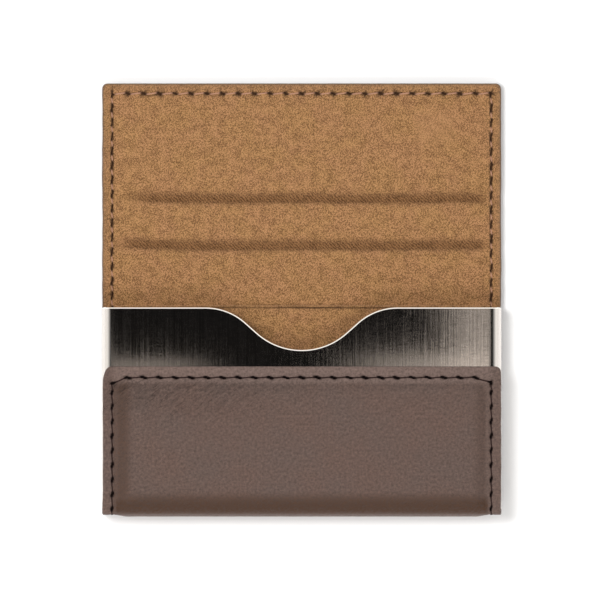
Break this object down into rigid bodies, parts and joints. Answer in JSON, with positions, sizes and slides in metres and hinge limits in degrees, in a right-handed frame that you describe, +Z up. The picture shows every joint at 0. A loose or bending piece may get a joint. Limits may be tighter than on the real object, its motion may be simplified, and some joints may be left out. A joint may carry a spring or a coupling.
{
  "type": "business card case",
  "caption": "Folding leather business card case with a steel tray, thumb notch, suede lining and a flap held by hidden magnets, lying open on its back.",
  "frame": {"origin": "under the middle of the open case, on the surface it lies on", "axes": "+X across the case, +Y from the tray's bottom to the flap's free edge, +Z up out of the open case"},
  "size_m": [0.095, 0.103, 0.013],
  "materials": {
    "leather": "fine-grained taupe leather, satin",
    "suede": "tan suede-like microfibre, napped",
    "steel": "brushed up and down, with polished cut edges",
    "board": "grey bookbinding board",
    "foam": "thin dark padding",
    "thread": "dark brown waxed polyester thread",
    "magnet": "nickel-plated"
  },
  "bodies": {
    "case": {"steel_tray": "steel", "tray_lining": "suede", "cover_leather": "leather", "cover_lining": "suede", "front_board": "board", "front_foam": "foam", "bottom_board": "board", "back_board": "board", "back_foam": "foam", "cover_needle_thread": "thread", "cover_bobbin_thread": "thread", "rear_fold_leather": "leather", "rear_fold_lining": "suede"},
    "spine": {"spine_leather": "leather", "spine_lining": "suede", "spine_board": "board", "spine_needle_thread_left": "thread", "spine_needle_thread_right": "thread", "spine_bobbin_thread_left": "thread", "spine_bobbin_thread_right": "thread", "front_fold_leather": "leather", "front_fold_lining": "suede"},
    "flap": {"flap_leather": "leather", "flap_lining": "suede", "flap_board": "board", "flap_foam": "foam", "flap_magnet_left": "magnet", "flap_magnet_right": "magnet", "flap_needle_thread": "thread", "flap_bobbin_thread": "thread"}
  },
  "joints": [
    {"name": "rear_fold", "type": "hinge", "parent": "case", "child": "spine", "pos_m": [0, 0.0128, 0.001], "axis": [1, 0, 0], "range_deg": [0, 90], "deforming": ["rear_fold_leather", "rear_fold_lining"]},
    {"name": "front_fold", "type": "hinge", "parent": "spine", "child": "flap", "pos_m": [0, 0.024, 0.001], "axis": [1, 0, 0], "range_deg": [0, 90], "deforming": ["front_fold_leather", "front_fold_lining"]}
  ]
}
